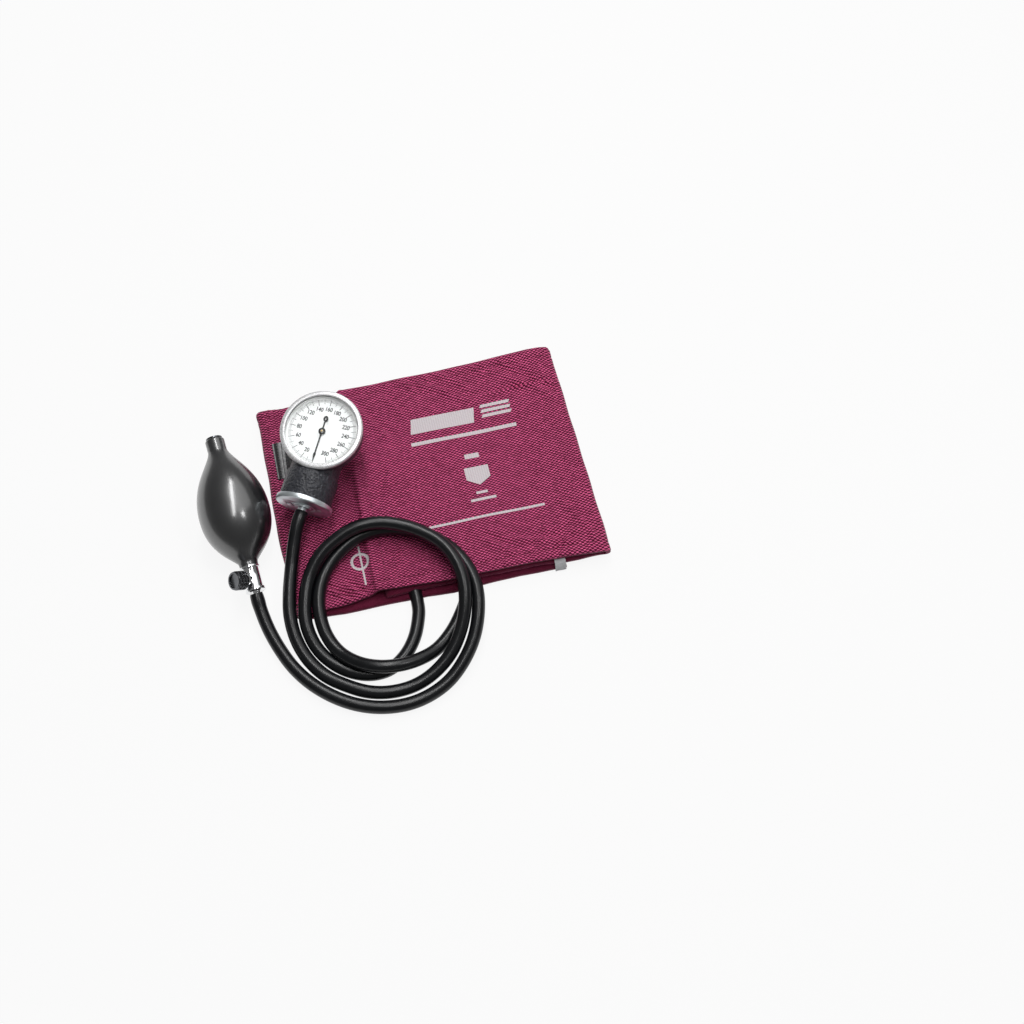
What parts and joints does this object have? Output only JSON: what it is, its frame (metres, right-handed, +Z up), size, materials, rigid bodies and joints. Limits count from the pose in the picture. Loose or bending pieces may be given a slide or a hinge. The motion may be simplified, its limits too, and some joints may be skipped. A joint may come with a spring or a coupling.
{
  "type": "aneroid sphygmomanometer",
  "caption": "Folded nylon arm cuff with a palm aneroid gauge clipped to it, a rubber squeeze bulb with a thumbscrew release valve, and black air tubes looped on the cuff.",
  "frame": {"origin": "On the resting plane, under the centre of the object's box measured without the two free air tubes.", "axes": "+Z up from the table; X along the folded cuff, +X away from the bulb; +Y away from the tube loops, across the cuff."},
  "size_m": [0.24, 0.2173, 0.0526],
  "materials": {
    "nylon": "oxford weave",
    "lining": "plain weave",
    "bladder_rubber": "smooth",
    "hook_loop": "hook and loop",
    "tag": "woven",
    "webbing": "ribbed webbing",
    "case_enamel": "satin black",
    "chrome_trim": "polished",
    "crystal": "clear",
    "seal_rubber": "plain",
    "dial_white": "matte white",
    "pointer_black": "matte black",
    "movement_brass": "satin",
    "spring_steel": "polished",
    "bulb_rubber": "glossy black",
    "knob_metal": "dark nickel",
    "disc_rubber": "plain",
    "tube_rubber": "semi-gloss black"
  },
  "bodies": {
    "cuff_and_cases": {"cuff_outer_panel": "nylon", "cuff_inner_panel": "lining", "bladder": "bladder_rubber", "loop_patch": "hook_loop", "hook_patch": "hook_loop", "size_tag": "tag", "gauge_loop": "webbing", "gauge_case": "case_enamel", "gauge_bezel": "chrome_trim", "gauge_crystal": "crystal", "crystal_gasket": "seal_rubber", "dial_plate": "dial_white", "hairspring": "spring_steel", "movement_back_plate": "movement_brass", "movement_front_plate": "movement_brass", "movement_pillars": "movement_brass", "movement_screws": "spring_steel", "pressure_capsule": "movement_brass", "base_cap": "chrome_trim", "cap_seal": "seal_rubber", "gauge_clip": "spring_steel", "clip_rivets": "spring_steel", "bulb": "bulb_rubber", "inlet_valve_body": "chrome_trim", "inlet_screen": "spring_steel", "release_valve_body": "chrome_trim", "valve_collar": "knob_metal", "screw_packing": "seal_rubber", "gauge_tube": "tube_rubber", "bulb_tube": "tube_rubber"},
    "pointer_train": {"pointer": "pointer_black", "pinion_arbor": "movement_brass"},
    "sector": {"sector_gear": "movement_brass"},
    "push_rod": {"push_pin": "spring_steel"},
    "thumbscrew": {"release_screw": "knob_metal"},
    "inlet_ball": {"inlet_valve_ball": "spring_steel"},
    "outlet_disc": {"outlet_check_disc": "disc_rubber"}
  },
  "joints": [
    {"name": "sector_turn", "type": "hinge", "parent": "cuff_and_cases", "child": "sector", "pos_m": [-0.04473, 0.01598, 0.03595], "axis": [-0.0695, -0.1285, 0.9893], "range_deg": [0, 37.33]},
    {"name": "pointer_turn", "type": "hinge", "parent": "cuff_and_cases", "child": "pointer_train", "pos_m": [-0.0358, 0.02745, 0.04019], "axis": [0.0695, 0.1285, -0.9893], "range_deg": [0, 336]},
    {"name": "push_pin_slide", "type": "slide", "parent": "cuff_and_cases", "child": "push_rod", "axis": [0.4705, 0.8702, 0.1461], "range_m": [0, 0.00157]},
    {"name": "thumbscrew_turn", "type": "hinge", "parent": "cuff_and_cases", "child": "thumbscrew", "pos_m": [-0.10213, -0.04818, 0.02033], "axis": [-0.7302, -0.1881, 0.6568], "range_deg": [0, 540]},
    {"name": "inlet_ball_lift", "type": "slide", "parent": "cuff_and_cases", "child": "inlet_ball", "axis": [0.0804, -0.9783, -0.1908], "range_m": [0, 0.0008]},
    {"name": "outlet_disc_lift", "type": "slide", "parent": "cuff_and_cases", "child": "outlet_disc", "axis": [0.0804, -0.9783, -0.1908], "range_m": [0, 0.0008]}
  ],
  "couplings": [
    {"joint": "pointer_turn", "follows": "sector_turn", "ratio": 9},
    {"joint": "push_pin_slide", "follows": "sector_turn", "m_per_rad": 0.0024}
  ]
}
